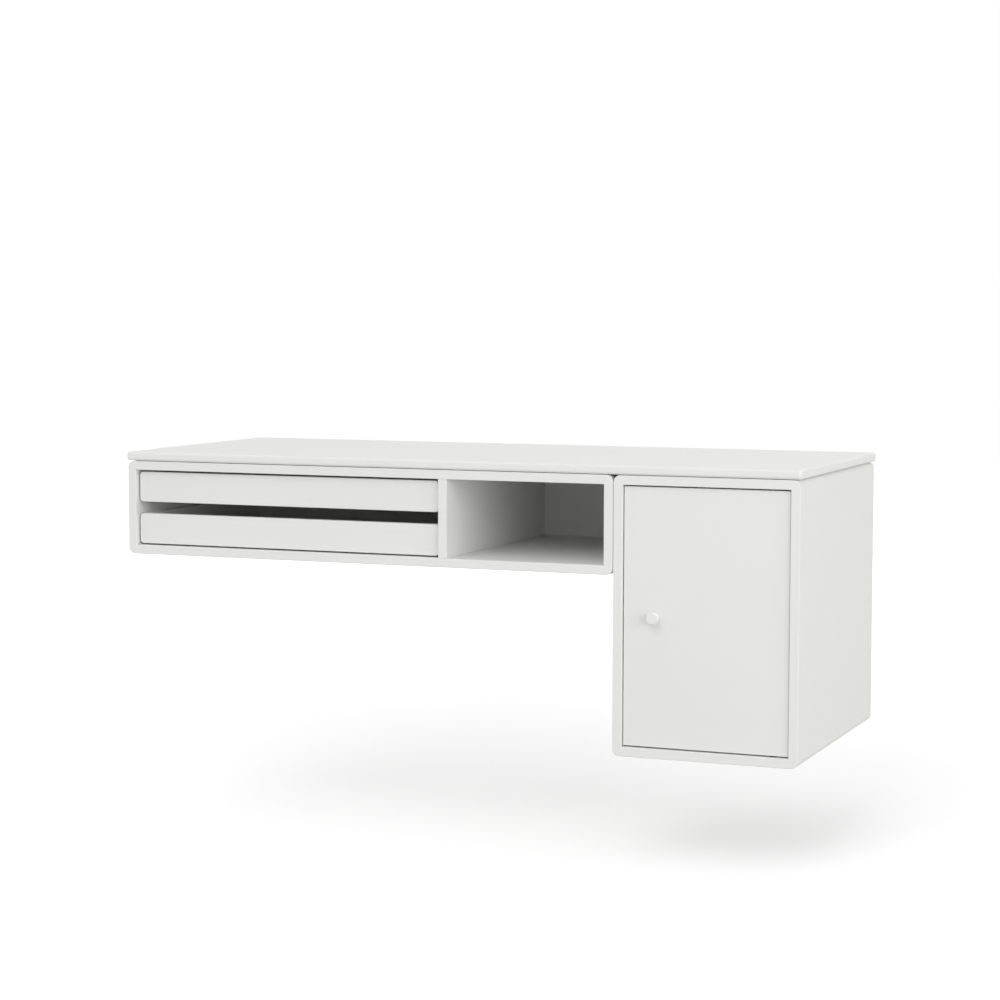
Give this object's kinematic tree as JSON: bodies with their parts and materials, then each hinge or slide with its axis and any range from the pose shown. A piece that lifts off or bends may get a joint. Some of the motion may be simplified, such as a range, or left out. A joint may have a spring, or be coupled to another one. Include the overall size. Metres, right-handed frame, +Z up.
{
  "type": "floating wall desk",
  "caption": "Floating wall desk: a low case with shallow sliding trays and an open bay beside a taller cupboard with a hinged door, under a long desktop, hung on a wall rail.",
  "frame": {"origin": "middle of the wall rail's screw line, on the wall plane, at mid-width of the desk", "axes": "+X right as seen from the front, +Y into the wall, +Z up; the front faces -Y"},
  "size_m": [0.9406, 0.388, 0.3666],
  "materials": {
    "white_lacquer": "satin white lacquer on board",
    "knob_lacquer": "satin white lacquer on a turned metal knob",
    "raw_board": "uncoated fibre board",
    "beech": "plain hardwood",
    "folded_steel": "zinc plated sheet",
    "plated_steel": "nickel plated",
    "screw_steel": "zinc plated",
    "nylon": "white nylon",
    "catch_plastic": "white moulded plastic",
    "magnet": "sintered magnet",
    "spacer_film": "clear soft washers",
    "black_plastic": "black moulded plastic",
    "black_steel": "blackened steel"
  },
  "bodies": {
    "case": {"batten_dowels": "beech", "cabinet_back": "white_lacquer", "cabinet_batten": "raw_board", "cabinet_bottom": "white_lacquer", "cabinet_hanger": "folded_steel", "cabinet_left": "white_lacquer", "cabinet_right": "white_lacquer", "cabinet_splines": "beech", "cabinet_top": "white_lacquer", "catch_housing": "catch_plastic", "catch_magnet": "magnet", "catch_screws": "screw_steel", "connector_screws": "plated_steel", "connector_sleeves": "plated_steel", "desk_batten": "raw_board", "desk_case_back": "white_lacquer", "desk_case_bottom": "white_lacquer", "desk_case_divider": "white_lacquer", "desk_case_left": "white_lacquer", "desk_case_right": "white_lacquer", "desk_case_splines": "beech", "desk_case_top": "white_lacquer", "desk_hanger": "folded_steel", "desktop": "white_lacquer", "desktop_screws": "screw_steel", "desktop_spacers": "spacer_film", "divider_dowels": "beech", "door_lower_bush": "black_plastic", "door_upper_pin": "black_steel", "hanger_screws": "screw_steel", "lower_tray_runners": "nylon", "runner_screws": "screw_steel", "seam_spacers": "spacer_film", "upper_tray_runners": "nylon", "wall_rail": "folded_steel"},
    "upper_tray": {"upper_tray_back": "white_lacquer", "upper_tray_bottom": "white_lacquer", "upper_tray_dowels": "beech", "upper_tray_front": "white_lacquer", "upper_tray_left": "white_lacquer", "upper_tray_pegs": "nylon", "upper_tray_right": "white_lacquer"},
    "lower_tray": {"lower_tray_back": "white_lacquer", "lower_tray_bottom": "white_lacquer", "lower_tray_dowels": "beech", "lower_tray_front": "white_lacquer", "lower_tray_left": "white_lacquer", "lower_tray_pegs": "nylon", "lower_tray_right": "white_lacquer"},
    "door": {"door_knob": "knob_lacquer", "door_lower_pin": "black_steel", "door_panel": "white_lacquer", "door_upper_bush": "black_plastic", "knob_screw": "screw_steel", "strike_plate": "plated_steel", "strike_screws": "screw_steel"}
  },
  "joints": [
    {"name": "upper_tray_slide", "type": "slide", "parent": "case", "child": "upper_tray", "axis": [0, -1, 0], "range_m": [0, 0.26]},
    {"name": "lower_tray_slide", "type": "slide", "parent": "case", "child": "lower_tray", "axis": [0, -1, 0], "range_m": [0, 0.26]},
    {"name": "door_hinge", "type": "hinge", "parent": "case", "child": "door", "pos_m": [0.4351, -0.37, -0.101], "axis": [0, 0, 1], "range_deg": [0, 110]}
  ]
}
